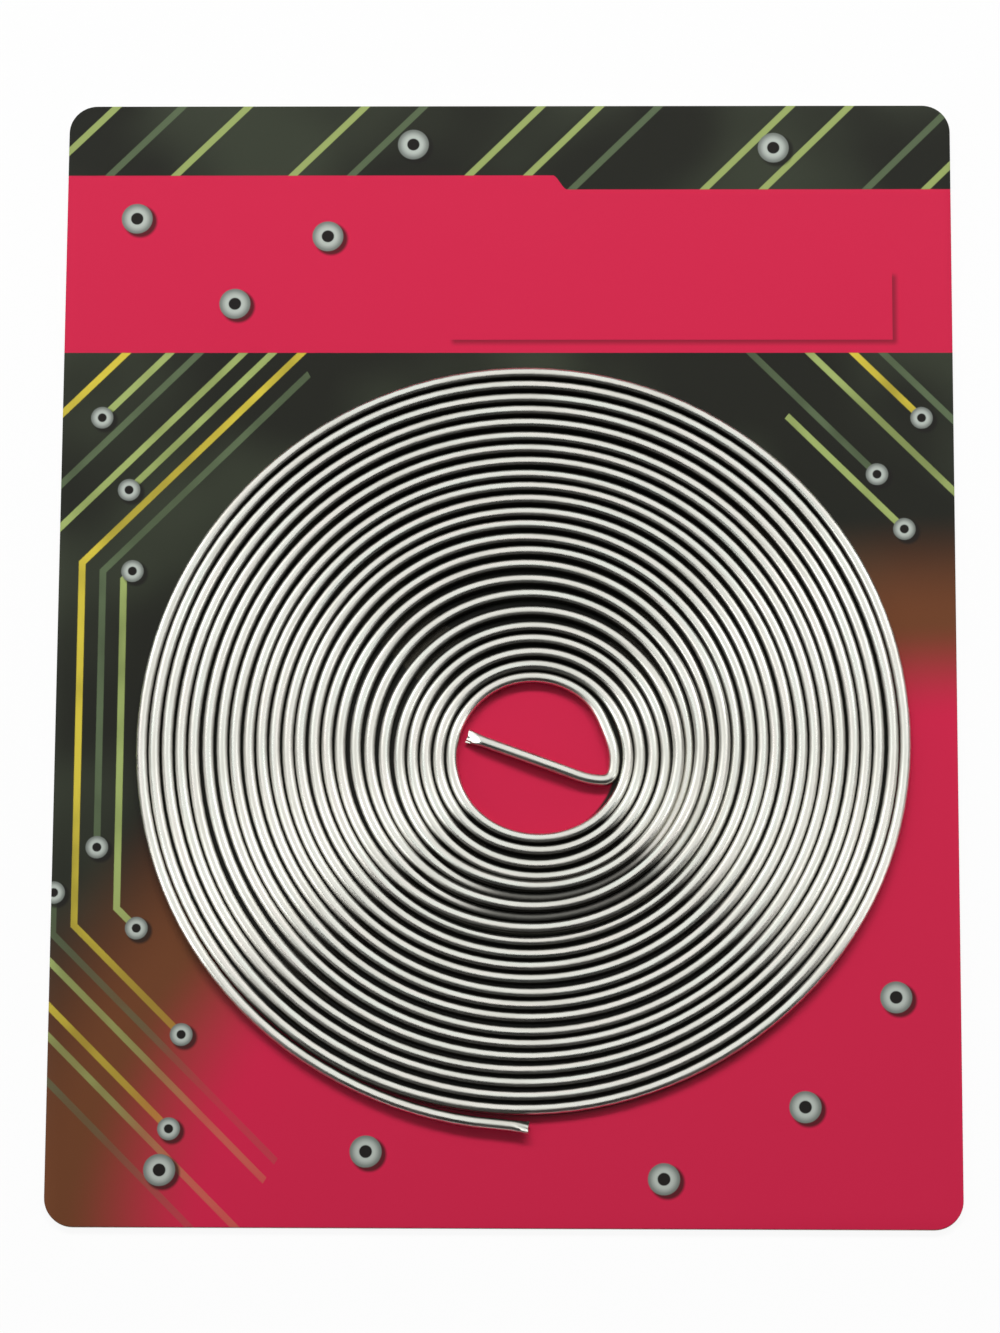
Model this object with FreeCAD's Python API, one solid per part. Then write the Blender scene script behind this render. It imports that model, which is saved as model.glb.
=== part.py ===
import FreeCAD, Part
import math
import os

# A flat spiral coil of solder wire, taped to the face of a printed card that has rounded corners.
# Lengths are millimetres and angles are degrees. The origin is the middle of the card's back,
# +Y runs to the card's top edge and +Z out of its face. Angles turn from +X towards +Y.

# Card: a greyboard core with a printed sheet laminated to its face
board_thickness = 0.8
print_thickness = 0.12
card_corner_radius = 3.8
# Clear card between the outermost turn and each edge
left_margin = 11.1
right_margin = 6.9
top_margin = 36.85
bottom_margin = 12.45

# Wire and its turns, which start on the loose side of the coil and lie closer on the tight side opposite
wire_diameter = 1.5
turn_count = 24
first_turn_radius = 10.9
loose_angle = 124.0
loose_gap = 0.57
tight_gap = 0.43
# From one turn to another the loose side opens further, by this slack in all
loose_slack = 2.15
slack_first_turn = 5
slack_last_turn = 10
# On the tight side, every second turn from one to another rides up on its neighbours
ride_height = 0.95
ride_first_turn = 5
ride_last_turn = 9

# Inner end: a tight bend out of the first turn, an easy bend, then a tail that lifts as it crosses the eye
inner_start_angle = -13.0
tight_bend_radius = 1.6
tight_bend_heading = 0.0
easy_bend_radius = 9.4
tail_heading = -20.0
tail_lift = 0.35
# The tail stops this far short of the first turn's far side
tail_clearance = 1.4

# Outer end: the last part turn springs out from the coil and ends in a short straight piece
outer_end_angle = 265.0
outer_end_spring = 0.6
outer_end_length = 3.5

# Both ends are nipped off to a chisel edge
nip_length = 1.3
nip_edge_height = 0.2

# Strips of double-sided tape run outwards under the turns
tape_strip_names = ("upper_right", "upper_left", "lower_left", "lower_right")
first_tape_angle = 45.0
tape_width = 8.0
tape_thickness = 0.1
# How far a strip stays behind the outer edges of the first and last turns
tape_inset = 1.1

# The least gap is measured between points this far apart along the wire
gap_point_step = 0.2

# The wire's section has four sides, is as high as the round wire and has its area
section_width = math.pi * wire_diameter / 4
loose_pitch = section_width + loose_gap
tight_pitch = section_width + tight_gap
face_height = board_thickness + print_thickness
coil_seat = face_height + tape_thickness
wire_axis_height = coil_seat + wire_diameter / 2


def direction(angle):
    """Returns the unit vector in the card's plane at an angle."""
    radians = math.radians(angle)
    return FreeCAD.Vector(math.cos(radians), math.sin(radians), 0)


def left_of(heading):
    """Returns the unit vector that points to the left of a heading."""
    return direction(heading + 90)


def slack(turn):
    """Returns how far a turn lies out on the loose side, beyond even spacing."""
    share = (turn - slack_first_turn) / (slack_last_turn - slack_first_turn)
    share = min(max(share, 0.0), 1.0)
    return loose_slack * share * share * (3 - 2 * share)


def loose_radius(turn):
    """Returns where a turn crosses the loose side, from the middle of the eye."""
    return first_turn_radius + loose_pitch * (turn - 1) + slack(turn)


def tight_radius(turn):
    """Returns where a turn crosses the side opposite the loose one, half a turn later."""
    return first_turn_radius + tight_pitch * (turn - 0.5)


def tight_height(turn):
    """Returns how far a turn is raised where it crosses the tight side."""
    rides = ride_first_turn <= turn <= ride_last_turn and (turn - ride_first_turn) % 2 == 0
    return ride_height if rides else 0.0


class HalfTurn:
    """Half a turn between the loose side and the tight side, as an arc that leaves both sides level."""

    def __init__(self, loose, tight, height=0.0):
        loose_end = direction(loose_angle) * loose
        tight_end = direction(loose_angle + 180) * tight + FreeCAD.Vector(0, 0, height)
        self.centre = (loose_end + tight_end) * 0.5
        self.loose_arm = (loose_end - tight_end) * 0.5
        self.radius = self.loose_arm.Length

    def point(self, angle):
        turned = math.radians(angle - loose_angle)
        side_arm = left_of(loose_angle) * self.radius
        return self.centre + self.loose_arm * math.cos(turned) + side_arm * math.sin(turned)

    def edge(self, start, end):
        """Returns the arc from one angle about its centre to a later one."""
        middle = self.point((start + end) / 2)
        return Part.Arc(self.point(start), middle, self.point(end)).toShape()

    def reach(self, angle):
        """Returns how far the arc is from the middle of the eye at an angle."""
        along = self.centre.dot(direction(angle))
        across = self.centre.dot(left_of(angle))
        return along + math.sqrt(self.radius**2 - across**2)


first_part_turn = HalfTurn(loose_radius(1), tight_radius(0))
last_part_turn = HalfTurn(loose_radius(turn_count), tight_radius(turn_count) + outer_end_spring)


def spiral_edges():
    """Returns the turns' arcs, from the inner end to the outer one, about the middle of the eye."""
    edges = [first_part_turn.edge(inner_start_angle, loose_angle)]
    for turn in range(1, turn_count):
        outward = HalfTurn(loose_radius(turn), tight_radius(turn), tight_height(turn))
        edges.append(outward.edge(loose_angle, loose_angle + 180))
        onward = HalfTurn(loose_radius(turn + 1), tight_radius(turn), tight_height(turn))
        edges.append(onward.edge(loose_angle - 180, loose_angle))
    edges.append(last_part_turn.edge(loose_angle, outer_end_angle))
    return edges


def bend_edge(end, end_heading, start_heading, radius):
    """Returns a left-hand bend that ends at a point, and the point where it starts."""
    centre = end + left_of(end_heading) * radius
    middle = centre - left_of((start_heading + end_heading) / 2) * radius
    start = centre - left_of(start_heading) * radius
    return Part.Arc(start, middle, end).toShape(), start


def eye_crossing(start, heading):
    """Returns how far it is from a point in the eye to the first turn's inner wall, along a heading."""
    far_side = HalfTurn(loose_radius(1), tight_radius(1))
    offset = start - far_side.centre
    along = offset.dot(direction(heading))
    across = offset.dot(left_of(heading))
    return math.sqrt((far_side.radius - section_width / 2) ** 2 - across**2) - along


def tail_edge(end):
    """Returns the tail as a shallow arc that starts level and lifts away from the card to its tip."""
    tail_length = eye_crossing(end, tail_heading + 180) - tail_clearance
    lift_angle = 2 * math.atan(tail_lift / tail_length)
    lift_radius = tail_length / math.sin(lift_angle)
    back = direction(tail_heading + 180)
    up = FreeCAD.Vector(0, 0, 1)

    def point(angle):
        return end + back * (lift_radius * math.sin(angle)) + up * (lift_radius * (1 - math.cos(angle)))

    return Part.Arc(point(lift_angle), point(lift_angle / 2), end).toShape(), point(lift_angle)


def wire_path():
    """Returns the wire's whole centre line about the middle of the eye, at height 0."""
    start_heading = inner_start_angle + 90
    turn_start = first_part_turn.point(inner_start_angle)
    tight_bend, tight_start = bend_edge(turn_start, start_heading, tight_bend_heading, tight_bend_radius)
    easy_bend, easy_start = bend_edge(tight_start, tight_bend_heading, tail_heading, easy_bend_radius)
    tail, tip = tail_edge(easy_start)
    turn_end = last_part_turn.point(outer_end_angle)
    outer_tip = turn_end + left_of(outer_end_angle) * outer_end_length
    outer_end = Part.LineSegment(turn_end, outer_tip).toShape()
    return Part.Wire([tail, easy_bend, tight_bend] + spiral_edges() + [outer_end])


def end_frame(path, at_start):
    """Returns a path end's point, the direction out of the wire there, and its sideways direction."""
    edge = path.OrderedEdges[0 if at_start else -1]
    parameter = edge.FirstParameter if at_start else edge.LastParameter
    tangent = edge.tangentAt(parameter)
    tip = edge.valueAt(parameter)
    outward = tangent * -1 if at_start else tangent
    sideways = FreeCAD.Vector(0, 0, 1).cross(outward)
    return tip, outward, sideways.normalize()


def wire_section(path):
    """Returns the wire's four-sided section at the path's start."""
    tip, outward, sideways = end_frame(path, True)
    side = sideways * (section_width / 2)
    rise = outward.cross(sideways) * (wire_diameter / 2)
    corners = [tip + side + rise, tip - side + rise, tip - side - rise, tip + side - rise]
    return Part.makePolygon(corners + corners[:1])


def nip_wedges(path, at_start):
    """Returns the two wedges that a nipper takes off an end, above and below its chisel edge."""
    tip, outward, sideways = end_frame(path, at_start)
    upward = outward.cross(sideways)
    half_width = sideways * wire_diameter
    wedges = []
    for side in (upward, upward * -1):
        back = tip - outward * nip_length + side * (wire_diameter / 2)
        edge = tip + side * (nip_edge_height / 2)
        clear = tip + outward * wire_diameter + side * (nip_edge_height / 2)
        top = tip + outward * wire_diameter + side * wire_diameter
        behind = back + side * (wire_diameter / 2)
        outline = [point - half_width for point in (back, edge, clear, top, behind)]
        face = Part.Face(Part.makePolygon(outline + outline[:1]))
        wedges.append(face.extrude(half_width * 2))
    return wedges


def solder_wire(path):
    """Returns the wire as one unbroken tube: tail, turns and outer end."""
    tube = path.makePipeShell([wire_section(path)], True, False)
    return tube.cut(nip_wedges(path, True) + nip_wedges(path, False))


def least_gap(path):
    """Returns the least gap between the wire and itself, measured on points along its centre line."""
    points = path.discretize(Distance=gap_point_step)
    cell_size = 2 * loose_pitch
    cells = {}
    for index, point in enumerate(points):
        cell = (math.floor(point.x / cell_size), math.floor(point.y / cell_size))
        cells.setdefault(cell, []).append(index)
    # Points nearer than this along the wire are one stretch of it, round the tightest bend too
    same_stretch = math.ceil(math.pi * (tight_bend_radius + wire_diameter) / gap_point_step)
    least = math.inf
    for (column, row), members in cells.items():
        near = [
            other
            for across in (-1, 0, 1)
            for along in (-1, 0, 1)
            for other in cells.get((column + across, row + along), [])
        ]
        for index in members:
            for other in near:
                if other - index > same_stretch:
                    least = min(least, points[index].distanceToPoint(points[other]))
    return least - section_width


def rounded_plate(low, high, bottom, thickness):
    """Returns a plate with rounded corners between two corners of its outline."""
    box = Part.makeBox(high.x - low.x, high.y - low.y, thickness, FreeCAD.Vector(low.x, low.y, bottom))
    upright = [edge for edge in box.Edges if abs(edge.tangentAt(edge.FirstParameter).z) > 0.5]
    return box.makeFillet(card_corner_radius, upright)


def tape_strip(angle, eye):
    """Returns one strip of tape along a radius, from behind the first turn to behind the last."""
    inner = HalfTurn(loose_radius(1), tight_radius(1)).reach(angle)
    outer = HalfTurn(loose_radius(turn_count - 1), tight_radius(turn_count - 1)).reach(angle)
    start = inner + tape_inset
    strip = Part.makeBox(outer - tape_inset - start, tape_width, tape_thickness)
    strip.translate(FreeCAD.Vector(start, -tape_width / 2, face_height))
    strip.rotate(FreeCAD.Vector(0, 0, 0), FreeCAD.Vector(0, 0, 1), angle)
    strip.translate(eye)
    return strip


def coil_reach(path):
    """Returns the lowest and highest corners of the wire in the card's plane, about the middle of the eye."""
    box = path.BoundBox
    half = section_width / 2
    return FreeCAD.Vector(box.XMin - half, box.YMin - half), FreeCAD.Vector(box.XMax + half, box.YMax + half)


def build():
    """Returns every piece by name."""
    path = wire_path()
    coil_low, coil_high = coil_reach(path)
    card_low = coil_low - FreeCAD.Vector(left_margin, bottom_margin)
    card_high = coil_high + FreeCAD.Vector(right_margin, top_margin)
    eye = (card_low + card_high) * -0.5
    half_card = (card_high - card_low) * 0.5
    wire = solder_wire(path)
    wire.translate(eye + FreeCAD.Vector(0, 0, wire_axis_height))
    pieces = {
        "backing_card": rounded_plate(half_card * -1, half_card, 0, board_thickness),
        "printed_face": rounded_plate(half_card * -1, half_card, board_thickness, print_thickness),
        "solder_wire": wire,
    }
    strip_step = 360 / len(tape_strip_names)
    for index, name in enumerate(tape_strip_names):
        pieces["tape_strip_" + name] = tape_strip(first_tape_angle + strip_step * index, eye)
    print("card %.2f x %.2f mm, eye at %.2f, %.2f" % (2 * half_card.x, 2 * half_card.y, eye.x, eye.y))
    print("wire length %.1f mm, volume %.1f mm3" % (path.Length, wire.Volume))
    print("least gap between turns %.3f mm" % least_gap(path))
    return pieces


os.makedirs("parts", exist_ok=True)
for name, shape in build().items():
    shape.exportStep(os.path.join("parts", name + ".step"))
    print(name, "valid" if shape.isValid() else "invalid", "solids", len(shape.Solids))
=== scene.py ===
import math

import bpy
import numpy as np
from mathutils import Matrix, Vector


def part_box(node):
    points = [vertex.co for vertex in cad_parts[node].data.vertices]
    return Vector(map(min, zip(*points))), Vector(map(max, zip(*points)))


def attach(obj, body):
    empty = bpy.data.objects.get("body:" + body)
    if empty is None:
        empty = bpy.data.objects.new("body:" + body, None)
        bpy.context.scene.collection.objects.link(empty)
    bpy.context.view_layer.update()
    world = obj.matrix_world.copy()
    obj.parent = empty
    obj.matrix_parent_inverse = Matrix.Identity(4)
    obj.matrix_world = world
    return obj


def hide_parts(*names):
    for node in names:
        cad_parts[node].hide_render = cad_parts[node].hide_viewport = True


# A flat spiral coil of bright solder wire, taped to the face of a printed card.
# Lengths are written in millimetres and turned into metres by MM. Angles are degrees from +X towards +Y.
MM = 0.001

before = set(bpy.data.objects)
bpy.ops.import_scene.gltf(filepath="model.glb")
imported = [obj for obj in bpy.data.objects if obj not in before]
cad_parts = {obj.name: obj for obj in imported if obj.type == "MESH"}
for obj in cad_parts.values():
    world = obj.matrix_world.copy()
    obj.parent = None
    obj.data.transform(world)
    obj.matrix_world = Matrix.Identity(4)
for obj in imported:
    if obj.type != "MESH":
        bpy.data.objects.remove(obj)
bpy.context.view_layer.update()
card_low, card_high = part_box("backing_card")
face_low, face_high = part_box("printed_face")
tape_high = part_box("tape_strip_upper_right")[1]

# Camera, as it stood for the photograph: place, turn about each axis, and lens
CAMERA_PLACE = Vector((14.05, -140.15, 661.69)) * MM
CAMERA_TURN = (11.84, 1.218, 0.324)
CAMERA_LENS = 136.8
CAMERA_CLIP = (10 * MM, 20000 * MM)

# Studio: a long panel over the object leans towards it from beyond its top edge, a small strip beyond that
# edge casts the shadows, and tall softboxes stand at both sides. The panel shines in the wire more than it
# lights the card, so its shine and its fill are two lamps. A radiance of 1 from all sides would light white
# card to white.
SOFTBOXES = (
    # name, what it lights, azimuth, elevation, distance, width, height, radiance
    ("panel_shine", "gloss", 90.0, 62.0, 1200 * MM, 5200 * MM, 2400 * MM, 1.0),
    ("panel_fill", "matt", 90.0, 62.0, 1200 * MM, 5200 * MM, 2400 * MM, 0.26),
    ("strip_light", "matt", 90.0, 49.0, 1200 * MM, 1200 * MM, 240 * MM, 14.5),
    ("softbox_right", "all", 33.0, 32.0, 1200 * MM, 320 * MM, 1000 * MM, 1.5),
    ("softbox_left", "all", 147.0, 32.0, 1200 * MM, 320 * MM, 1000 * MM, 1.7),
    ("window_right", "all", 345.0, 24.0, 1400 * MM, 360 * MM, 1000 * MM, 2.0),
    ("window_left", "all", 197.0, 24.0, 1400 * MM, 440 * MM, 1000 * MM, 3.0),
)
ROOM_RADIANCE = 0.03
FLOOR_SIZE = 8000 * MM
FLOOR_DROP = 0.02 * MM
FLOOR_COLOUR = (0.96, 0.96, 0.96, 1.0)
# The share of the floor that shows as plain white, while the rest keeps the shadows
FLOOR_WHITE_SHARE = 0.92
WHITE = (1.0, 1.0, 1.0, 1.0)

# Card: the die rounds the print's edge, and the back edge is slightly crushed
CARD_CORNER_RADIUS = 3.8 * MM
CORNER_STEPS = 14
PRINT_EDGE_ROUNDING = 0.1 * MM
BOARD_EDGE_CRUSH = 0.16 * MM

# Wire and its turns about the middle of the eye, which is measured from the middle of the card
WIRE_DIAMETER = 1.5 * MM
EYE_PLACE = (3.69 * MM, -14.11 * MM)
TURN_COUNT = 24
FIRST_TURN_RADIUS = 10.8 * MM
PITCH = 1.729 * MM
INNER_START_ANGLE = -10.5
OUTER_END_ANGLE = 266.0
# Each turn is a circle that steps out by one pitch as it comes round to the inner end
STEP_START = 250.0
STEP_SWEEP = 115.0
# The unevenness sets in between these angles of the first turn
SETTLING = (0.0, 180.0)

# After the fifth turn the turns drift off centre, to the upper left
DRIFT_ANGLE = 120.0
DRIFT_TURNS = (5.3, 6.3, 7.0, 8.0, 9.0, 10.3, 24.0)
DRIFTS = (0.0, 0.45 * MM, 0.95 * MM, 1.4 * MM, 1.8 * MM, 2.05 * MM, 2.45 * MM)

# Opposite the drift the turns crowd, so some ride up on the ones between them
CROWD_ANGLE = 300.0
RIDING_TURNS = (5, 7, 9)
SUNK_TURNS = (6, 8)
RIDE_HEIGHT = 0.93 * MM
SINK_DEPTH = 0.05 * MM
RIDE_WINDOW = (-86.0, -44.0, 65.0, 112.0)
# The sunk turns lie in the riding ones' shade here, and painted shade is put on them there.
SHADE_WINDOW = (-62.0, -38.0, 5.0, 38.0)
# Just past there they lie in pairs, each riding turn against the sunk one outside it
PAIR_WINDOW = (0.0, 40.0, 70.0, 105.0)
RIDING_SHIFT = 0.02 * MM
SUNK_SHIFT = -0.05 * MM

# The last turns bulge to the lower left and lie closer at the lower right: angle, width and size of each
LOOSE_TURNS = (18.0, 22.0)
LOOSE_BULGES = ((212.0, 45.0, 0.55 * MM), (304.0, 24.0, -0.3 * MM))

# The first turn runs nearly straight just after the inner end
FLAT_ANGLE = 22.0
FLAT_WIDTH = 16.0
FLAT_DEPTH = 0.35 * MM

# Outer end: the wire springs away from the coil over its last stretch, then ends straight
SPRING_SWEEP = 28.0
SPRING_OUT = 0.34 * MM
SPRING_LIFT = 0.3 * MM
OUTER_STRAIGHT = 4.4 * MM

# Inner end: a tight bend, an easy bend, then a tail that arches over the eye
TIGHT_BEND_RADIUS = 1.35 * MM
EASY_BEND_RADIUS = 9.4 * MM
TAIL_HEADING = -20.0
TAIL_LENGTH = 15.7 * MM
TAIL_ARCH = 0.34 * MM
# The card is bare in the eye, so the tail comes down off the tape's height over this share of it
TAIL_DROP = 0.08 * MM
TAIL_DROP_SHARE = 0.6

# Both ends are nipped off to a ridged chisel edge, which spreads a little and splits like a fish's tail
NIP_LENGTH = 2.1 * MM
NIP_EDGE_HEIGHT = 0.2 * MM
NIP_SPREAD = 0.22
NIP_SPLIT = 0.1 * MM
NIP_RIDGES = 10.0
NIP_RIDGE_HEIGHT = 0.12
INNER_NIP_ROLL = 24.0
OUTER_NIP_ROLL = -28.0

# Hand-wound unevenness as waves along the wire: size, waves in a turn, phase
WANDER_WAVES = (
    (0.045 * MM, 0.37, 0.4),
    (0.036 * MM, 1.13, 2.1),
    (0.030 * MM, 1.71, 4.4),
    (0.020 * MM, 3.27, 1.3),
    (0.010 * MM, 7.43, 5.2),
)
LIFT_WAVES = ((0.02 * MM, 0.83, 1.0), (0.015 * MM, 2.61, 3.3))

# Mesh of the wire
RING_ANGLE = 3.0
RING_STEP = 0.3 * MM
RING_SIDES = 20
LEAST_BEND_RINGS = 6
SHARP_EDGE_ANGLE = 38.0


def smooth(value, start, end):
    """Rises from 0 at start to 1 at end, level at both."""
    share = np.clip((value - start) / (end - start), 0.0, 1.0)
    return share * share * (3.0 - 2.0 * share)


def window(value, marks):
    """Rises from 0 to 1 between the first two marks and falls back between the last two."""
    return smooth(value, marks[0], marks[1]) * (1.0 - smooth(value, marks[2], marks[3]))


def waves(angle, parts):
    """Adds up waves along the wire."""
    turned = np.radians(angle)
    return sum(size * np.sin(rate * turned + phase) for size, rate, phase in parts)


def direction(angle):
    """Unit vectors in the card's plane."""
    turned = np.radians(angle)
    return np.stack([np.cos(turned), np.sin(turned)], axis=-1)


def turn_line():
    """Centre line of the turns about the middle of the eye, with the height above their seat, and where the
    sunk turns get painted shade.
    """
    end = 360.0 * (TURN_COUNT - 1) + OUTER_END_ANGLE
    angle = np.linspace(INNER_START_ANGLE, end, int((end - INNER_START_ANGLE) / RING_ANGLE) + 1)
    since_step = angle - STEP_START
    steps = np.floor(since_step / 360.0) + 1.0 + smooth(np.mod(since_step, 360.0), 0.0, STEP_SWEEP)
    radius = FIRST_TURN_RADIUS + PITCH * np.maximum(steps - 1.0, 0.0)
    radius -= FLAT_DEPTH * np.exp(-(((angle - FLAT_ANGLE) / FLAT_WIDTH) ** 2))
    for place, width, size in LOOSE_BULGES:
        aside = np.mod(angle - place + 180.0, 360.0) - 180.0
        radius += size * np.exp(-((aside / width) ** 2)) * smooth(angle / 360.0 + 1.0, *LOOSE_TURNS)
    sprung = smooth(angle, end - SPRING_SWEEP, end)
    settled = smooth(angle, *SETTLING)
    radius += SPRING_OUT * sprung + waves(angle, WANDER_WAVES) * settled
    height = SPRING_LIFT * sprung + np.maximum(waves(angle, LIFT_WAVES), 0.0) * settled

    crossing = np.round((angle - CROWD_ANGLE) / 360.0)
    past_crowd = angle - CROWD_ANGLE - 360.0 * crossing
    riding = np.isin(crossing + 1, RIDING_TURNS)
    sunk = np.isin(crossing + 1, SUNK_TURNS)
    height += window(past_crowd, RIDE_WINDOW) * (RIDE_HEIGHT * riding - SINK_DEPTH * sunk)
    radius += window(past_crowd, PAIR_WINDOW) * (RIDING_SHIFT * riding + SUNK_SHIFT * sunk)

    drift = np.interp(angle / 360.0 + 1.0, DRIFT_TURNS, DRIFTS)
    flat = direction(angle) * radius[:, None] + direction(DRIFT_ANGLE) * drift[:, None]
    return np.column_stack([flat, height]), window(past_crowd, SHADE_WINDOW) * sunk


def bend_back(end, end_heading, start_heading, radius):
    """Points of a left-hand bend that ends at a point, without that point, from its start."""
    sweep = end_heading - start_heading
    count = max(int(math.radians(sweep) * radius / RING_STEP), LEAST_BEND_RINGS)
    headings = np.linspace(start_heading, end_heading, count + 1)[:-1]
    centre = end + direction(end_heading + 90.0) * radius
    return centre - direction(headings + 90.0) * radius


def inner_end(first, second):
    """Centre line of the inner end up to the first turn's start, about the middle of the eye."""
    heading = math.degrees(math.atan2(second[1] - first[1], second[0] - first[0]))
    tight = bend_back(first[:2], heading, 0.0, TIGHT_BEND_RADIUS)
    easy = bend_back(tight[0], 0.0, TAIL_HEADING, EASY_BEND_RADIUS)
    count = int(TAIL_LENGTH / RING_STEP)
    back = np.linspace(TAIL_LENGTH, 0.0, count + 1)[:-1]
    tail = easy[0] - direction(TAIL_HEADING) * back[:, None]
    flat = np.vstack([tail, easy, tight])
    share = np.linspace(0.0, 1.0, len(flat), endpoint=False)
    height = TAIL_ARCH * np.sin(math.pi * share) - TAIL_DROP * (1.0 - smooth(share, 0.0, TAIL_DROP_SHARE))
    return np.column_stack([flat, height])


def outer_end(last, before):
    """Centre line of the straight outer end, past the last turn's end."""
    heading = (last - before) / np.linalg.norm(last - before)
    count = int(OUTER_STRAIGHT / RING_STEP)
    return last + heading * np.linspace(0.0, OUTER_STRAIGHT, count + 1)[1:, None]


def wire_line():
    """Whole centre line of the wire in the object's frame, and how much painted shade the sunk turns get at
    each point.
    """
    turns, sunk = turn_line()
    inner, outer = inner_end(turns[0], turns[1]), outer_end(turns[-1], turns[-2])
    line = np.vstack([inner, turns, outer])
    seat = tape_high.z + WIRE_DIAMETER / 2
    sunk = np.concatenate([np.zeros(len(inner)), sunk, np.zeros(len(outer))])
    return line + np.array([EYE_PLACE[0], EYE_PLACE[1], seat]), sunk


def nip(ring, from_end, roll):
    """Shapes a round ring of unit radius near a nipped end, as offsets sideways, upwards and outwards."""
    turned = math.radians(roll)
    side = ring[:, 0] * math.cos(turned) + ring[:, 1] * math.sin(turned)
    rise = ring[:, 1] * math.cos(turned) - ring[:, 0] * math.sin(turned)
    closed = 1.0 - min(from_end / NIP_LENGTH, 1.0)
    limit = 1.0 + (NIP_EDGE_HEIGHT / WIRE_DIAMETER - 1.0) * closed
    side = side * (1.0 + NIP_SPREAD * closed)
    rise = np.clip(rise, -limit, limit)
    rise = rise + np.sign(rise) * NIP_RIDGE_HEIGHT * closed * np.cos(NIP_RIDGES * side)
    outward = NIP_SPLIT * closed * closed * (np.abs(side) - 0.5)
    flat_side = side * math.cos(turned) - rise * math.sin(turned)
    flat_rise = rise * math.cos(turned) + side * math.sin(turned)
    return flat_side, flat_rise, outward


def build_mesh(name, points, faces):
    """Makes an object from points in metres."""
    mesh = bpy.data.meshes.new(name)
    mesh.from_pydata([tuple(point) for point in points], [], faces)
    mesh.validate()
    piece = bpy.data.objects.new(name, mesh)
    bpy.context.scene.collection.objects.link(piece)
    return piece


def solder_coil():
    """The wire as one tube along its centre line, with UVs in millimetres along and turns around it."""
    line, sunk = wire_line()
    count = len(line)
    tangent = np.gradient(line, axis=0)
    tangent /= np.linalg.norm(tangent, axis=1)[:, None]
    sideways = np.cross(np.array([0.0, 0.0, 1.0]), tangent)
    sideways /= np.linalg.norm(sideways, axis=1)[:, None]
    upwards = np.cross(tangent, sideways)
    along = np.concatenate([[0.0], np.cumsum(np.linalg.norm(np.diff(line, axis=0), axis=1))])
    around = np.linspace(0.0, 2 * math.pi, RING_SIDES, endpoint=False)
    ring = np.column_stack([np.cos(around), np.sin(around)])

    half = WIRE_DIAMETER / 2
    points = []
    for index in range(count):
        inner, outer = along[index], along[-1] - along[index]
        side, rise, outward = ring[:, 0], ring[:, 1], np.zeros(RING_SIDES)
        if inner < NIP_LENGTH:
            side, rise, outward = nip(ring, inner, INNER_NIP_ROLL)
            outward = -outward
        elif outer < NIP_LENGTH:
            side, rise, outward = nip(ring, outer, OUTER_NIP_ROLL)
        points.extend(
            line[index]
            + np.outer(side * half, sideways[index])
            + np.outer(rise * half, upwards[index])
            + np.outer(outward, tangent[index])
        )

    faces = []
    for index in range(count - 1):
        low, high = index * RING_SIDES, (index + 1) * RING_SIDES
        for step in range(RING_SIDES):
            following = (step + 1) % RING_SIDES
            faces.append((low + step, low + following, high + following, high + step))
    faces.append(tuple(reversed(range(RING_SIDES))))
    faces.append(tuple(range((count - 1) * RING_SIDES, count * RING_SIDES)))
    piece = build_mesh("solder_coil", points, faces)

    layer = piece.data.uv_layers.new(name="along_and_around")
    quads = (count - 1) * RING_SIDES
    index, step = np.divmod(np.arange(quads), RING_SIDES)
    across = np.stack([step, step + 1, step + 1, step], axis=1) / RING_SIDES
    ahead = np.stack([along[index], along[index], along[index + 1], along[index + 1]], axis=1) / MM
    caps = np.zeros((2 * RING_SIDES, 2))
    values = np.vstack([np.stack([ahead, across], axis=-1).reshape(-1, 2), caps])
    layer.data.foreach_set("uv", values.ravel().astype(np.float32))
    # The painted shade on the sunk turns goes into a point attribute
    sunk_shade_layer = piece.data.attributes.new("sunk", "FLOAT", "POINT")
    sunk_shade_layer.data.foreach_set("value", np.repeat(sunk, RING_SIDES).astype(np.float32))
    piece.data.shade_smooth()
    piece.data.set_sharp_from_angle(angle=math.radians(SHARP_EDGE_ANGLE))
    length = along[-1] / MM
    first_turn_end = (TAIL_LENGTH + 2 * math.pi * FIRST_TURN_RADIUS) / MM
    last_radius = FIRST_TURN_RADIUS + PITCH * (TURN_COUNT - 1)
    return piece, first_turn_end, length - 2 * math.pi * last_radius / MM


def rounded_plate(name, low, high, profile):
    """A plate with rounded corners, as rings of inset and height from its lower face to its upper one."""
    quarter = np.linspace(0.0, 90.0, CORNER_STEPS + 1)
    points = []
    for inset, height in profile:
        radius = CARD_CORNER_RADIUS - inset
        for number, (right, top) in enumerate(((1, 1), (0, 1), (0, 0), (1, 0))):
            corner_x = high.x - CARD_CORNER_RADIUS if right else low.x + CARD_CORNER_RADIUS
            corner_y = high.y - CARD_CORNER_RADIUS if top else low.y + CARD_CORNER_RADIUS
            for spread in direction(quarter + 90.0 * number) * radius:
                points.append((corner_x + spread[0], corner_y + spread[1], height))
    size = len(points) // len(profile)
    faces = [tuple(reversed(range(size)))]
    for level in range(len(profile) - 1):
        for step in range(size):
            start, following = level * size, (step + 1) % size
            faces.append((start + step, start + following, start + size + following, start + size + step))
    faces.append(tuple(range((len(profile) - 1) * size, len(profile) * size)))
    piece = build_mesh(name, points, faces)
    piece.data.shade_smooth()
    piece.data.set_sharp_from_angle(angle=math.radians(SHARP_EDGE_ANGLE))
    return piece


def greyboard_core():
    """The card's core, with its lower edge crushed by the die."""
    top = card_high.z
    crush = BOARD_EDGE_CRUSH
    profile = ((crush, 0.0), (crush * 0.35, crush * 0.2), (0.0, crush * 0.7), (0.0, top))
    return rounded_plate("greyboard_core", card_low, card_high, profile)


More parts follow.
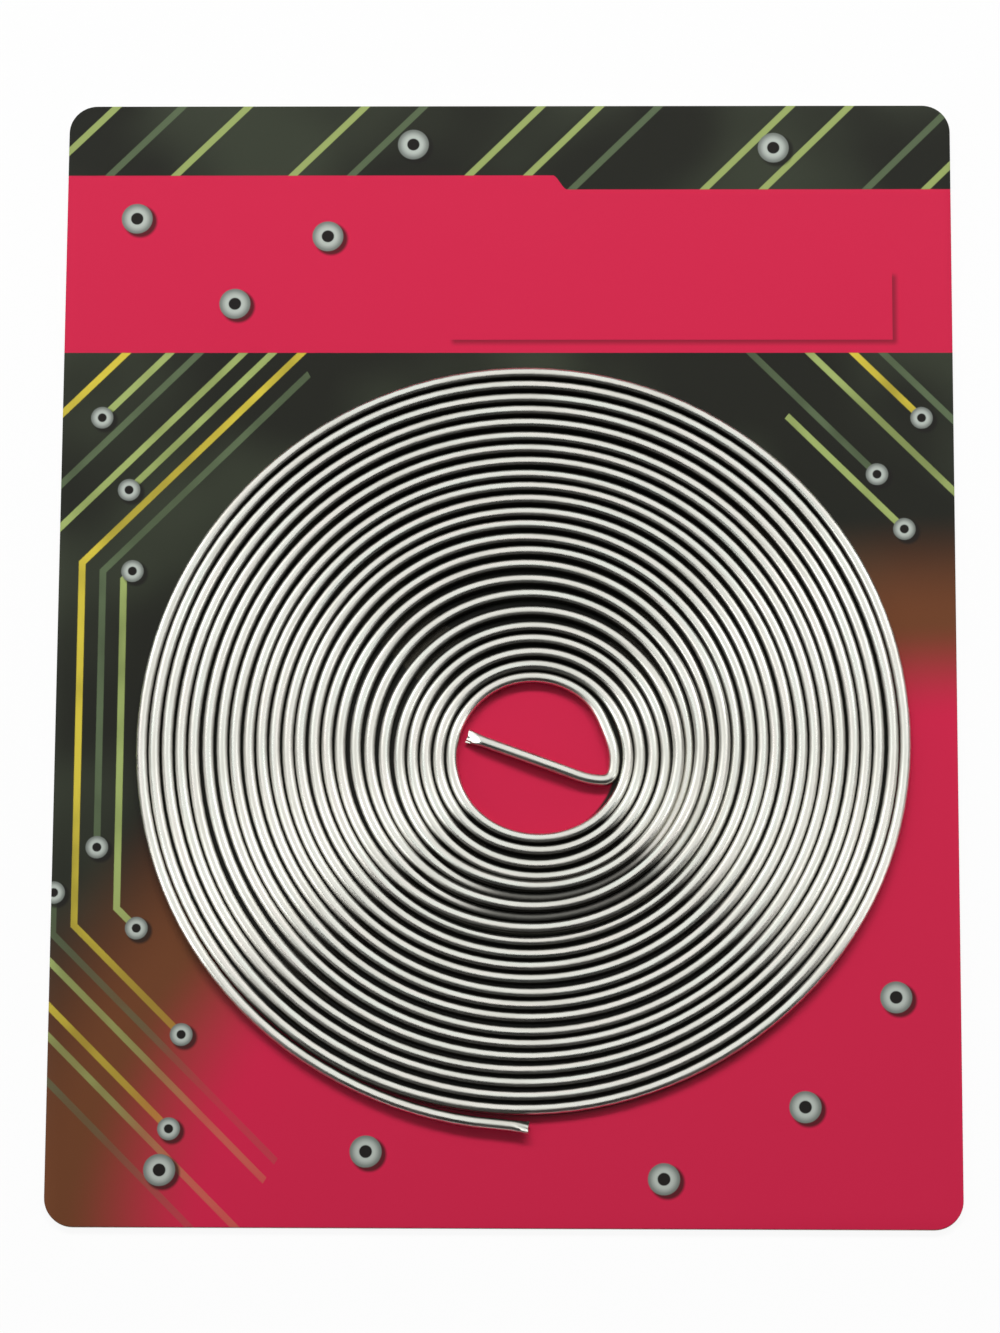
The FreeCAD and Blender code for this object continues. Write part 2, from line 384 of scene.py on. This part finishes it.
def printed_sheet():
    """The sheet laminated to the card's face, with its upper edge rounded by the die."""
    low, high = face_low.z, face_high.z
    soft = PRINT_EDGE_ROUNDING
    profile = ((0.0, low), (0.0, high - soft * 0.6), (soft * 0.3, high - soft * 0.2), (soft, high))
    return rounded_plate("printed_sheet", face_low, face_high, profile)


# Solder's own colours, and the painted shade, painted sheen and painted highlight on its flanks
SOLDER_WARM = (0.77, 0.745, 0.685, 1.0)
SOLDER_COOL = (0.735, 0.765, 0.70, 1.0)
SOLDER_DULL = (0.68, 0.675, 0.61, 1.0)
SOLDER_PAINTED_SHADE = (0.05, 0.047, 0.04, 1.0)
SOLDER_PAINTED_SIDE_SHEEN = (0.56, 0.55, 0.51, 1.0)
SOLDER_PAINTED_HIGHLIGHT = (0.80, 0.79, 0.74, 1.0)
# The painted highlight on the flanks is brightest a little below the coil's left and right
PAINTED_HIGHLIGHT_ANGLE = -20.0
# Down from the top of the wire's section, at 1, the painted shade starts and is full at these heights
PAINTED_SHADE_START = 0.9
PAINTED_SHADE_FULL = 0.62
# Turns that lie sunk under their neighbours get painted shade all round
SUNK_PAINTED_SHADE = 0.85
# The flanks that face no other turn get no painted shade: the tail's both, the first turn's inner one and
# the last turn's outer one. The painted shade sets in over a stretch of the wire, in millimetres.
PAINTED_SHADE_STRETCH = 60.0
# At the inner end, the outer flank's painted shade sets in along the bends, this far past the tail's
# straight
TAIL_BENDS = (3.0, 8.0)


def ink(red, green, blue):
    """A colour given as it is seen, from 0 to 255, as the linear colour that nodes take."""
    shares = [value / 255.0 for value in (red, green, blue)]
    return tuple(s / 12.92 if s <= 0.04045 else ((s + 0.055) / 1.055) ** 2.4 for s in shares) + (1.0,)


class Graph:
    """A material's nodes, put together with short calls."""

    def __init__(self, name):
        self.material = bpy.data.materials.new(name)
        self.material.use_nodes = True
        self.tree = self.material.node_tree
        self.shader = self.tree.nodes["Principled BSDF"]

    def put(self, socket, value):
        if isinstance(value, bpy.types.NodeSocket):
            self.tree.links.new(value, socket)
        else:
            socket.default_value = value

    def node(self, kind, inputs=(), **settings):
        made = self.tree.nodes.new("ShaderNode" + kind)
        for name, value in settings.items():
            setattr(made, name, value)
        for name, value in dict(inputs).items():
            self.put(made.inputs[name], value)
        return made

    def math(self, operation, *values):
        made = self.node("Math", operation=operation)
        for socket, value in zip(made.inputs, values):
            self.put(socket, value)
        return made.outputs[0]

    def ramp(self, value, low, high, start=0.0, end=1.0):
        """Goes from start at low to end at high, level at both."""
        inputs = {"Value": value, "From Min": low, "From Max": high, "To Min": start, "To Max": end}
        return self.node("MapRange", inputs, interpolation_type="SMOOTHSTEP").outputs["Result"]

    def mix(self, share, first, second):
        made = self.node("Mix", data_type="RGBA")
        self.put(made.inputs[0], share)
        self.put(made.inputs[6], first)
        self.put(made.inputs[7], second)
        return made.outputs[2]

    def mix_value(self, share, first, second):
        return self.math("ADD", self.math("MULTIPLY", self.math("SUBTRACT", 1.0, share), first),
                         self.math("MULTIPLY", share, second))

    def below(self, value, edge, soft):
        """1 below an edge and 0 above it, with a soft step."""
        return self.ramp(value, edge - soft, edge + soft, 1.0, 0.0)

    def within(self, value, low, high, soft):
        """1 between low and high, falling to 0 over the soft edges inside them."""
        rising = self.ramp(value, low, low + soft)
        falling = self.ramp(value, high - soft, high, 1.0, 0.0)
        return self.math("MULTIPLY", rising, falling)

    def noise(self, vector, scale, detail=3.0, roughness=0.5):
        inputs = {"Vector": vector, "Scale": scale, "Detail": detail, "Roughness": roughness}
        return self.node("TexNoise", inputs).outputs["Fac"]

    def vector(self, x, y, z):
        return self.node("CombineXYZ", {"X": x, "Y": y, "Z": z}).outputs["Vector"]

    def parts(self, vector):
        """The three parts of a vector."""
        return tuple(self.node("SeparateXYZ", {"Vector": vector}).outputs)

    def millimetres(self):
        """The point on the object in millimetres."""
        place = self.node("TexCoord").outputs["Object"]
        return self.node("VectorMath", {0: place, "Scale": 1.0 / MM}, operation="SCALE").outputs[0]

    def bump(self, height, strength, distance):
        inputs = {"Height": height, "Strength": strength, "Distance": distance}
        self.put(self.shader.inputs["Normal"], self.node("Bump", inputs).outputs["Normal"])

    def set(self, **values):
        """Sets the shader's sockets, named with underscores for spaces."""
        for name, value in values.items():
            self.put(self.shader.inputs[name.replace("_", " ")], value)


# Inks of the print
CRIMSON = ink(212, 38, 76)
CHARCOAL = ink(30, 31, 25)
BROWN = ink(112, 66, 40)
MOSS = ink(60, 66, 52)
PALE_GREEN = ink(170, 188, 112)
DIM_GREEN = ink(96, 112, 82)
YELLOW = ink(226, 206, 72)
PAD_GREY = ink(188, 196, 188)
PAD_RIM = ink(120, 126, 120)
PAD_SHADE = ink(26, 24, 22)
PAPER = ink(228, 222, 214)

# Fields of the print, in millimetres from the middle of the card. Their edges are this soft.
PRINT_SOFT = 0.06
HEADER_EDGE = 66.6
HEADER_STEP = 2.0
HEADER_STEP_START = 6.0
PANEL_EDGE = 41.6
# Plate: left, top, right and bottom
PLATE = (-9.0, 54.0, 52.0, 43.4)
PLATE_SHADE = (1.0, -1.0)
PLATE_SHADE_SOFT = 1.0
PLATE_SHADE_SHARE = 0.55
PLATE_SOFT = 0.08
# The panel fades from crimson through brown to charcoal, with the distance from a point at the lower right
FADE_CENTRE = (65.0, -84.0)
FADE_STRETCH = 0.72
FADE_CRIMSON, FADE_BROWN, FADE_CHARCOAL = 75.0, 89.0, 104.0
# A dark round field under the turns is painted shade between them, and its soft edge past the last turn is
# a painted shadow. The eye is crimson.
COIL_PLACE = (2.5, -12.1)
COIL_SHADE_FIELD = 50.4
COIL_SHADE_FIELD_SOFT = 1.2
EYE_FIELD = 11.2
EYE_FIELD_SOFT = 0.4

# Circuit lines run round the coil as nested octagons. Their angles go from the top towards the left.
TRACE_WIDTH = 0.9
TRACE_SOFT = 0.08
TRACE_END_SOFT = 0.05
TRACES = (
    # distance from the coil's middle, start angle, end angle, ink
    (53.8, 66.0, 116.0, PALE_GREEN),
    (56.6, 30.0, 104.0, DIM_GREEN),
    (59.4, 20.0, 131.0, YELLOW),
    (62.2, 20.0, 57.0, PALE_GREEN),
    (65.0, 20.0, 150.0, PALE_GREEN),
    (69.2, 20.0, 80.0, DIM_GREEN),
    (72.0, 20.0, 52.0, PALE_GREEN),
    (76.2, 20.0, 80.0, YELLOW),
    (62.2, 108.0, 150.0, DIM_GREEN),
    (69.2, 100.0, 138.0, YELLOW),
    (72.0, 100.0, 160.0, PALE_GREEN),
    (76.2, 100.0, 160.0, DIM_GREEN),
    (56.6, -60.0, -38.0, PALE_GREEN),
    (59.4, -52.0, -20.0, DIM_GREEN),
    (65.0, -80.0, -20.0, PALE_GREEN),
    (69.2, -50.0, -20.0, YELLOW),
    (72.0, -80.0, -20.0, DIM_GREEN),
)
# Header lines rise at 45 degrees. Each is given by where it would cross the card's middle height.
HEADER_TRACES = (-130.0, -121.0, -112.0, -96.0, -88.0, -72.0, -64.0, -56.0, -38.0, -30.0, -16.0, -8.0, 0.0)
HEADER_TRACE_SOFT = 0.1
HEADER_TRACE_STRENGTH = 0.8

# Round pads with a hole stand on circuit lines, at a distance and angle, and alone at places of their own
LINE_PADS = (
    (53.8, 116.0), (56.6, 104.0), (59.4, 131.0), (62.2, 57.0), (72.0, 52.0), (69.2, 138.0),
    (56.6, -60.0), (59.4, -52.0), (69.2, -50.0), (53.8, 66.0), (62.2, 108.0),
)
LINE_PAD_RADIUS = 1.5
FREE_PADS = (
    (-50.5, 60.5), (-37.0, 48.5), (-24.5, 58.0), (-45.0, -69.0), (-18.0, -66.5),
    (21.0, -70.0), (39.5, -60.5), (51.5, -46.0), (-13.0, 71.0), (36.0, 70.5),
)
FREE_PAD_RADIUS = 2.1
PAD_HOLE_SHARE = 0.4
PAD_SOFT = 0.08
PAD_SHADE_SHIFT = (0.45, -0.4)
PAD_SHADE_SPREAD = (-0.1, 0.4)
PAD_SHADE_SHARE = 0.85


def octagon_distance(graph, x, y):
    """How large the octagon about the coil's middle is that passes through a point."""
    flat_x = graph.math("ABSOLUTE", graph.math("SUBTRACT", x, COIL_PLACE[0]))
    flat_y = graph.math("ABSOLUTE", graph.math("SUBTRACT", y, COIL_PLACE[1]))
    slanted = graph.math("MULTIPLY", graph.math("ADD", flat_x, flat_y), math.sqrt(0.5))
    return graph.math("MAXIMUM", graph.math("MAXIMUM", flat_x, flat_y), slanted)


def octagon_point(distance, angle):
    """The point of an octagon at an angle, from the top towards the left."""
    x, y = -math.sin(math.radians(angle)), math.cos(math.radians(angle))
    size = distance / max(abs(x), abs(y), (abs(x) + abs(y)) * math.sqrt(0.5))
    return COIL_PLACE[0] + x * size, COIL_PLACE[1] + y * size


def nearest(graph, spot, centres):
    """Distance from a point to the nearest of some centres."""
    distance = None
    for centre in centres:
        inputs = {0: spot, 1: centre + (0.0,)}
        made = graph.node("VectorMath", inputs, operation="DISTANCE").outputs["Value"]
        distance = made if distance is None else graph.math("MINIMUM", distance, made)
    return distance


def print_plate(graph, tone, x, y):
    """A bare crimson plate on the crimson band, with a printed shade below and to the right."""
    left, top, right, bottom = PLATE
    shade = (PLATE_SHADE, PLATE_SHADE_SOFT, PAD_SHADE, PLATE_SHADE_SHARE)
    plate = ((0.0, 0.0), PLATE_SOFT, CRIMSON, 1.0)
    for shift, soft, colour, share in (shade, plate):
        inside_x = graph.within(x, left + shift[0], right + shift[0], soft)
        inside_y = graph.within(y, bottom + shift[1], top + shift[1], soft)
        shown = graph.math("MULTIPLY", graph.math("MULTIPLY", inside_x, inside_y), share)
        tone = graph.mix(shown, tone, colour)
    return tone


def print_traces(graph, tone, x, y, panel, faded):
    """Circuit lines round the coil, fainter where the panel has faded."""
    size = octagon_distance(graph, x, y)
    across = graph.math("SUBTRACT", COIL_PLACE[0], x)
    angle = graph.math("DEGREES", graph.math("ARCTAN2", across, graph.math("SUBTRACT", y, COIL_PLACE[1])))
    strength = graph.math("MULTIPLY", panel, faded)
    for distance, start, end, colour in TRACES:
        offset = graph.math("ABSOLUTE", graph.math("SUBTRACT", size, distance))
        line = graph.below(offset, TRACE_WIDTH / 2, TRACE_SOFT)
        line = graph.math("MULTIPLY", line, graph.within(angle, start, end, TRACE_END_SOFT))
        tone = graph.mix(graph.math("MULTIPLY", line, strength), tone, colour)
    return tone


def print_header(graph, tone, x, y, charcoal):
    """A dark header with a stepped lower edge, crossed by slanting lines."""
    step = graph.ramp(x, HEADER_STEP_START, HEADER_STEP_START + HEADER_STEP, 0.0, HEADER_STEP)
    header = graph.ramp(graph.math("ADD", y, step), HEADER_EDGE - PRINT_SOFT, HEADER_EDGE + PRINT_SOFT)
    tone = graph.mix(header, tone, charcoal)
    slanted = graph.math("SUBTRACT", x, y)
    half = TRACE_WIDTH * math.sqrt(0.5)
    for number, place in enumerate(HEADER_TRACES):
        offset = graph.math("ABSOLUTE", graph.math("SUBTRACT", slanted, place))
        line = graph.below(offset, half, HEADER_TRACE_SOFT)
        line = graph.math("MULTIPLY", line, HEADER_TRACE_STRENGTH)
        colour = DIM_GREEN if number % 3 == 1 else PALE_GREEN
        tone = graph.mix(graph.math("MULTIPLY", line, header), tone, colour)
    return tone


def print_pads(graph, tone, spot, centres, radius):
    """Grey round pads with a hole and a printed shade."""
    shade = [(px + PAD_SHADE_SHIFT[0], py + PAD_SHADE_SHIFT[1]) for px, py in centres]
    inner, outer = radius + PAD_SHADE_SPREAD[0], radius + PAD_SHADE_SPREAD[1]
    behind = graph.ramp(nearest(graph, spot, shade), inner, outer, PAD_SHADE_SHARE, 0.0)
    tone = graph.mix(behind, tone, PAD_SHADE)
    distance = nearest(graph, spot, centres)
    grey = graph.mix(graph.ramp(distance, radius * 0.5, radius), PAD_GREY, PAD_RIM)
    tone = graph.mix(graph.below(distance, radius, PAD_SOFT), tone, grey)
    return graph.mix(graph.below(distance, radius * PAD_HOLE_SHARE, PAD_SOFT), tone, PAD_SHADE)


def card_print():
    """Gloss-varnished print: crimson and charcoal fields, with plain circuit lines and pads over them."""
    graph = Graph("card_print")
    place = graph.millimetres()
    x, y = graph.parts(place)[:2]
    spot = graph.vector(x, y, 0.0)

    cloud = graph.ramp(graph.noise(place, 0.035, 1.5), 0.42, 0.66, 0.0, 0.7)
    charcoal = graph.mix(cloud, CHARCOAL, MOSS)
    fade_x = graph.math("MULTIPLY", graph.math("SUBTRACT", x, FADE_CENTRE[0]), FADE_STRETCH)
    fade_spot = graph.vector(fade_x, graph.math("SUBTRACT", y, FADE_CENTRE[1]), 0.0)
    reach = graph.node("VectorMath", {0: fade_spot}, operation="LENGTH").outputs["Value"]
    field = graph.mix(graph.ramp(reach, FADE_CRIMSON, FADE_BROWN), CRIMSON, BROWN)
    field = graph.mix(graph.ramp(reach, FADE_BROWN, FADE_CHARCOAL), field, charcoal)
    faded = graph.ramp(reach, FADE_CRIMSON, FADE_CHARCOAL, 0.2, 0.95)
    faded = graph.math("MULTIPLY", faded, graph.ramp(graph.noise(place, 0.08, 2.0), 0.35, 0.6, 0.6, 1.0))
    panel = graph.below(y, PANEL_EDGE, PRINT_SOFT)
    tone = graph.mix(panel, CRIMSON, field)
    tone = print_plate(graph, tone, x, y)
    # The plate's shade ends at the panel
    tone = graph.mix(panel, tone, field)
    tone = print_traces(graph, tone, x, y, panel, faded)
    tone = print_header(graph, tone, x, y, charcoal)
    line_pads = [octagon_point(*pad) for pad in LINE_PADS]
    tone = print_pads(graph, tone, spot, line_pads, LINE_PAD_RADIUS)
    tone = print_pads(graph, tone, spot, list(FREE_PADS), FREE_PAD_RADIUS)
    eye = (EYE_PLACE[0] / MM, EYE_PLACE[1] / MM)
    # The dark round field is painted shade under the turns, with a painted shadow at its soft edge
    fields = (
        (COIL_PLACE, COIL_SHADE_FIELD, COIL_SHADE_FIELD_SOFT, CHARCOAL),
        (eye, EYE_FIELD, EYE_FIELD_SOFT, CRIMSON),
    )
    for centre, radius, soft, colour in fields:
        inside = graph.ramp(nearest(graph, spot, [centre]), radius - soft, radius, 1.0, 0.0)
        tone = graph.mix(inside, tone, colour)

    facing_up = graph.parts(graph.node("NewGeometry").outputs["True Normal"])[2]
    tone = graph.mix(graph.ramp(facing_up, 0.2, 0.5, 1.0, 0.0), tone, PAPER)
    sheen = graph.noise(place, 0.05, 2.0)
    graph.set(Base_Color=tone, Roughness=graph.ramp(sheen, 0.3, 0.7, 0.3, 0.38), Specular_IOR_Level=0.14)
    graph.bump(graph.noise(place, 0.9, 3.0), 0.08, 0.03 * MM)
    return graph.material


def solder_metal(first_turn_end, last_turn_start):
    """Bright drawn solder with faint draw lines, with painted shade on the flanks that face another turn
    and all round the sunk turns, and a painted sheen and highlight on the flanks at the coil's left and
    right.
    """
    graph = Graph("drawn_solder")
    uv = graph.node("UVMap", uv_map="along_and_around").outputs["UV"]
    along, around = graph.parts(uv)[:2]
    turned = graph.math("MULTIPLY", around, 2 * math.pi)
    cosine, sine = graph.math("COSINE", turned), graph.math("SINE", turned)
    drawn = graph.noise(graph.vector(graph.math("MULTIPLY", along, 0.03), cosine, sine), 9.0, 4.0, 0.6)
    patch = graph.noise(graph.vector(graph.math("MULTIPLY", along, 0.12), cosine, sine), 0.9, 3.0)
    nick = graph.noise(graph.vector(graph.math("MULTIPLY", along, 1.1), cosine, sine), 2.4, 2.0)
    hue = graph.noise(graph.vector(graph.math("MULTIPLY", along, 0.05), cosine, 0.0), 1.0, 2.0)
    bright = graph.mix(graph.ramp(hue, 0.35, 0.65), SOLDER_WARM, SOLDER_COOL)
    bright = graph.mix(graph.ramp(patch, 0.42, 0.72), bright, SOLDER_DULL)

    x, y = graph.parts(graph.millimetres())[:2]
    from_eye_x = graph.math("SUBTRACT", x, EYE_PLACE[0] / MM)
    from_eye_y = graph.math("SUBTRACT", y, EYE_PLACE[1] / MM)
    from_eye = graph.vector(from_eye_x, from_eye_y, 0.0)
    outwards = graph.node("VectorMath", {0: from_eye}, operation="NORMALIZE").outputs[0]
    out_x, out_y = graph.parts(outwards)[:2]
    sideways = graph.math("MULTIPLY", out_x, out_x)
    # Painted shade on the flanks, lighter as a painted sheen where the wire runs up and down at the coil's
    # left and right
    flank = graph.mix(graph.ramp(sideways, 0.45, 1.0), SOLDER_PAINTED_SHADE, SOLDER_PAINTED_SIDE_SHEEN)
    # Painted highlight on the flanks a little below the coil's left and right
    highlight_way = direction(PAINTED_HIGHLIGHT_ANGLE)
    highlight_x = graph.math("MULTIPLY", graph.math("ABSOLUTE", out_x), float(highlight_way[0]))
    highlight_y = graph.math("MULTIPLY", out_y, float(highlight_way[1]))
    painted_highlight = graph.ramp(graph.math("ADD", highlight_x, highlight_y), 0.9, 1.0)
    flank = graph.mix(painted_highlight, flank, SOLDER_PAINTED_HIGHLIGHT)
    # Where the painted shade falls: low on the flanks that face another turn
    low = graph.ramp(sine, PAINTED_SHADE_FULL, PAINTED_SHADE_START, 1.0, 0.0)
    inner_side = graph.ramp(along, first_turn_end, first_turn_end + PAINTED_SHADE_STRETCH)
    before_last = graph.ramp(along, last_turn_start - PAINTED_SHADE_STRETCH, last_turn_start, 1.0, 0.0)
    past_tail = graph.ramp(along, TAIL_LENGTH / MM + TAIL_BENDS[0], TAIL_LENGTH / MM + TAIL_BENDS[1])
    outer_side = graph.math("MULTIPLY", before_last, past_tail)
    inward = graph.ramp(cosine, -0.3, 0.3)
    facing = graph.mix_value(inward, outer_side, inner_side)
    # Painted shade all round the sunk turns, read from the point attribute
    sunk = graph.node("Attribute", attribute_name="sunk").outputs["Fac"]
    flank_shade = graph.math("MULTIPLY", low, facing)
    painted_shade = graph.math("MAXIMUM", flank_shade, graph.math("MULTIPLY", sunk, SUNK_PAINTED_SHADE))
    worked = graph.math("MULTIPLY", drawn, 0.06)
    roughness = graph.math("ADD", graph.ramp(patch, 0.3, 0.75, 0.2, 0.32), worked)
    graph.set(
        Metallic=1.0,
        Base_Color=graph.mix(painted_shade, bright, flank),
        Roughness=graph.mix_value(painted_shade, roughness, 0.5),
    )
    relief = graph.math("ADD", drawn, graph.math("MULTIPLY", nick, 0.8))
    graph.bump(relief, 0.35, 0.02 * MM)
    return graph.material


def greyboard():
    """Matt recycled greyboard: fibres, specks and a slightly darker mottle."""
    graph = Graph("greyboard")
    place = graph.millimetres()
    x, y, z = graph.parts(place)
    mottle = graph.noise(place, 0.12, 4.0)
    pulp = graph.noise(place, 2.6, 6.0, 0.7)
    stretched = graph.vector(graph.math("MULTIPLY", x, 0.35), graph.math("MULTIPLY", y, 2.2), z)
    fibre = graph.noise(stretched, 1.8, 5.0, 0.75)
    speck = graph.ramp(graph.noise(place, 3.4, 2.0), 0.70, 0.78)
    tone = graph.mix(graph.ramp(mottle, 0.3, 0.7), ink(192, 184, 170), ink(184, 176, 162))
    tone = graph.mix(graph.ramp(fibre, 0.5, 0.72, 0.0, 0.45), tone, ink(214, 208, 196))
    tone = graph.mix(graph.math("MULTIPLY", speck, 0.6), tone, ink(108, 98, 86))
    graph.set(Base_Color=tone, Roughness=0.92, Specular_IOR_Level=0.2)
    graph.bump(graph.math("ADD", pulp, fibre), 0.5, 0.05 * MM)
    return graph.material


def adhesive_film():
    """Clear double-sided tape, with the adhesive's faint mottle."""
    graph = Graph("adhesive_film")
    mottle = graph.noise(graph.millimetres(), 0.9, 4.0, 0.6)
    graph.set(
        Base_Color=graph.mix(mottle, ink(196, 186, 160), ink(172, 160, 132)),
        Roughness=graph.ramp(mottle, 0.3, 0.7, 0.25, 0.45),
        Alpha=0.1,
    )
    graph.bump(mottle, 0.2, 0.03 * MM)
    return graph.material


def seen_share(tree):
    """1 for rays that show the background, in the camera, in gloss and through clear things."""
    rays = tree.nodes.new("ShaderNodeLightPath")
    total = rays.outputs["Is Camera Ray"]
    for name in ("Is Glossy Ray", "Is Transmission Ray"):
        add = tree.nodes.new("ShaderNodeMath")
        add.operation = "MAXIMUM"
        tree.links.new(total, add.inputs[0])
        tree.links.new(rays.outputs[name], add.inputs[1])
        total = add.outputs[0]
    return total


def studio_floor():
    """Pale floor that shows white and keeps the object's shadow."""
    half = FLOOR_SIZE / 2
    level = -FLOOR_DROP
    corners = [(-half, -half, level), (half, -half, level), (half, half, level), (-half, half, level)]
    floor = build_mesh("studio_floor", corners, [(0, 1, 2, 3)])
    graph = Graph("pale_floor")
    graph.set(Base_Color=FLOOR_COLOUR, Roughness=0.9, Specular_IOR_Level=0.0)
    glow = graph.node("Emission", {"Color": WHITE, "Strength": 1.0})
    blend = graph.node("MixShader")
    graph.put(blend.inputs[0], graph.math("MULTIPLY", seen_share(graph.tree), FLOOR_WHITE_SHARE))
    graph.put(blend.inputs[1], graph.shader.outputs[0])
    graph.put(blend.inputs[2], glow.outputs[0])
    graph.put(graph.tree.nodes["Material Output"].inputs["Surface"], blend.outputs[0])
    floor.data.materials.append(graph.material)


def studio_light():
    """Soft studio light: the room's own light, and softboxes that face the object."""
    world = bpy.data.worlds.new("studio_room")
    bpy.context.scene.world = world
    world.use_nodes = True
    room = world.node_tree.nodes["Background"]
    room.inputs["Color"].default_value = WHITE
    room.inputs["Strength"].default_value = ROOM_RADIANCE
    for name, lights, azimuth, elevation, distance, width, height, radiance in SOFTBOXES:
        lamp = bpy.data.lights.new(name, "AREA")
        lamp.shape = "RECTANGLE"
        lamp.size, lamp.size_y = width, height
        lamp.energy = radiance * math.pi * width * height
        box = bpy.data.objects.new(name, lamp)
        flat = direction(azimuth) * math.cos(math.radians(elevation))
        towards = Vector((flat[0], flat[1], math.sin(math.radians(elevation))))
        box.location = towards * distance
        box.rotation_mode = "QUATERNION"
        box.rotation_quaternion = towards.to_track_quat("Z", "Y")
        box.visible_camera = False
        box.visible_diffuse = lights != "gloss"
        box.visible_glossy = lights != "matt"
        bpy.context.scene.collection.objects.link(box)


def photo_camera():
    """Camera at the photograph's place and angle."""
    data = bpy.data.cameras.new("photo_camera")
    data.lens = CAMERA_LENS
    data.clip_start, data.clip_end = CAMERA_CLIP
    camera = bpy.data.objects.new("photo_camera", data)
    camera.location = CAMERA_PLACE
    camera.rotation_euler = [math.radians(angle) for angle in CAMERA_TURN]
    bpy.context.scene.collection.objects.link(camera)
    bpy.context.scene.camera = camera


def dress(piece, material, node):
    """Puts a piece in place of a CAD node, with its material."""
    piece.data.materials.append(material)
    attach(piece, "root")
    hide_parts(node)


photo_camera()
studio_light()
studio_floor()
dress(greyboard_core(), greyboard(), "backing_card")
dress(printed_sheet(), card_print(), "printed_face")
coil, first_turn_end, last_turn_start = solder_coil()
dress(coil, solder_metal(first_turn_end, last_turn_start), "solder_wire")
film = adhesive_film()
for node_name, node_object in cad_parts.items():
    if node_name.startswith("tape_strip"):
        node_object.data.materials.clear()
        node_object.data.materials.append(film)

bpy.context.scene.view_settings.view_transform = "Standard"
